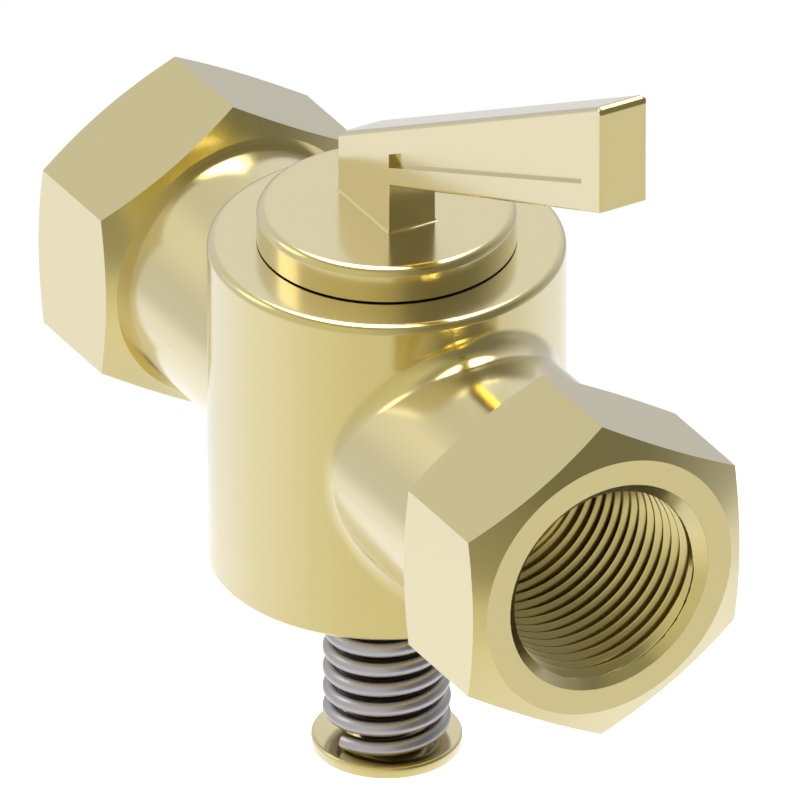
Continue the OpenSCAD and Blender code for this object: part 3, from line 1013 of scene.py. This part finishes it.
def floor_piece():
    """Round floor, which is clear when seen from below."""
    bm = bmesh.new()
    bmesh.ops.create_circle(bm, cap_ends=True, segments=96, radius=FLOOR_R)
    bmesh.ops.translate(bm, verts=bm.verts, vec=(0, 0, FLOOR_Z))
    mesh = bpy.data.meshes.new("floor")
    bm.to_mesh(mesh)
    bm.free()
    material = bpy.data.materials.new("white_floor")
    material.use_nodes = True
    nodes, links = material.node_tree.nodes, material.node_tree.links
    shader = nodes["Principled BSDF"]
    shader.inputs["Base Color"].default_value = (FLOOR_GREY, FLOOR_GREY, FLOOR_GREY, 1)
    shader.inputs["Roughness"].default_value = 0.9
    shader.inputs["Specular IOR Level"].default_value = 0
    shader.inputs["Emission Color"].default_value = (1, 1, 1, 1)
    path = nodes.new("ShaderNodeLightPath")
    seen = path.outputs["Is Camera Ray"]
    glow = math_node(material.node_tree, "MULTIPLY", seen, FLOOR_GLOW_TO_CAMERA)
    links.new(glow, shader.inputs["Emission Strength"])
    side = nodes.new("ShaderNodeNewGeometry")
    clear = nodes.new("ShaderNodeBsdfTransparent")
    mix = nodes.new("ShaderNodeMixShader")
    links.new(side.outputs["Backfacing"], mix.inputs[0])
    links.new(shader.outputs[0], mix.inputs[1])
    links.new(clear.outputs[0], mix.inputs[2])
    links.new(mix.outputs[0], nodes["Material Output"].inputs["Surface"])
    mesh.materials.append(material)
    floor = bpy.data.objects.new("floor", mesh)
    bpy.context.scene.collection.objects.link(floor)


floor_piece()


# Room: soft light from all round, with the side that the lever points to left dark.
# Light levels go with the compass direction, from -X through -Y, +X and +Y back to -X.
LOW_LIGHT = (
    (0.00, 0.66), (0.10, 0.76), (0.20, 0.75), (0.33, 0.79), (0.385, 0.76), (0.43, 0.62), (0.47, 0.40),
    (0.52, 0.24), (0.60, 0.22), (0.645, 0.34), (0.68, 0.50), (0.77, 0.55), (0.85, 0.58), (1.00, 0.62),
)
HIGH_LIGHT = (
    (0.00, 0.76), (0.06, 0.77), (0.10, 0.93), (0.14, 0.88), (0.20, 0.83), (0.35, 0.81), (0.40, 0.70),
    (0.44, 0.55), (0.47, 0.33), (0.52, 0.25), (0.65, 0.24), (0.70, 0.36), (0.75, 0.52), (0.80, 0.68),
    (0.87, 0.82), (0.92, 0.86), (0.96, 0.74), (1.00, 0.76),
)
FLOOR_LIGHT = (
    (0.00, 1.01), (0.20, 1.03), (0.29, 0.96), (0.37, 0.88), (0.50, 0.86), (0.67, 0.87), (0.72, 0.95),
    (0.85, 0.97), (1.00, 1.01),
)
CEILING_LIGHT = 0.45
# Heights in degrees from which one light gives way to another, and at which it has done so
LOW_TO_HIGH = (-3, 16)
SIDE_TO_FLOOR = (-15, -28)
SIDE_TO_CEILING = (40, 65)


def share_by_height(tree, up, heights):
    """0 at the first height, 1 at the second and a smooth change between them. up is the height's sine."""
    start, end = (math.sin(math.radians(height)) for height in heights)
    node = tree.nodes.new("ShaderNodeMapRange")
    node.interpolation_type = "SMOOTHSTEP"
    node.inputs["From Min"].default_value = min(start, end)
    node.inputs["From Max"].default_value = max(start, end)
    node.inputs["To Min"].default_value = 0 if start < end else 1
    node.inputs["To Max"].default_value = 1 if start < end else 0
    tree.links.new(up, node.inputs["Value"])
    return node.outputs["Result"]


def compass_light(tree, compass, levels):
    """Light level by compass direction."""
    ramp = tree.nodes.new("ShaderNodeValToRGB")
    tree.links.new(compass, ramp.inputs[0])
    elements = ramp.color_ramp.elements
    for end in (0, -1):
        level = levels[end][1]
        elements[end].color = (level, level, level, 1)
    for position, level in levels[1:-1]:
        elements.new(position).color = (level, level, level, 1)
    return ramp.outputs[0]


def room():
    """Lights the world by direction, and shows white to the camera."""
    world = bpy.data.worlds.new("studio")
    bpy.context.scene.world = world
    world.use_nodes = True
    tree = world.node_tree
    nodes, links = tree.nodes, tree.links
    place = nodes.new("ShaderNodeTexCoord")
    split = nodes.new("ShaderNodeSeparateXYZ")
    links.new(place.outputs["Generated"], split.inputs[0])
    x, y, up = split.outputs
    compass = math_node(tree, "MULTIPLY_ADD", math_node(tree, "ARCTAN2", y, x), 0.5 / math.pi, 0.5)
    low, high, floor = (
        compass_light(tree, compass, levels) for levels in (LOW_LIGHT, HIGH_LIGHT, FLOOR_LIGHT)
    )
    light = blend_colours(tree, share_by_height(tree, up, LOW_TO_HIGH), low, high)
    light = blend_colours(tree, share_by_height(tree, up, SIDE_TO_FLOOR), light, floor)
    light = blend_colours(tree, share_by_height(tree, up, SIDE_TO_CEILING), light, CEILING_LIGHT)
    path = nodes.new("ShaderNodeLightPath")
    light = blend_colours(tree, path.outputs["Is Camera Ray"], light, 1)
    links.new(light, nodes["Background"].inputs["Color"])
    nodes["Background"].inputs["Strength"].default_value = 1


room()


def softbox(name, size, distance, azimuth, elevation, watts):
    """A round lamp that looks at the origin from a direction in degrees. Sizes are in metres."""
    data = bpy.data.lights.new(name, "AREA")
    data.shape = "DISK"
    data.size = size
    data.energy = watts
    lamp = bpy.data.objects.new(name, data)
    a, e = math.radians(azimuth), math.radians(elevation)
    way = Vector((math.sin(a) * math.cos(e), -math.cos(a) * math.cos(e), math.sin(e)))
    lamp.location = way * distance
    lamp.rotation_euler = way.to_track_quat("Z", "Y").to_euler()
    bpy.context.scene.collection.objects.link(lamp)


softbox("overhead_softbox", size=0.68, distance=0.99, azimuth=239, elevation=75.5, watts=7.9)
softbox("overhead_soft_edge", size=0.98, distance=1.0, azimuth=236, elevation=74.5, watts=6.4)
softbox("side_softbox", size=0.42, distance=1.0, azimuth=-38, elevation=34, watts=0.45)
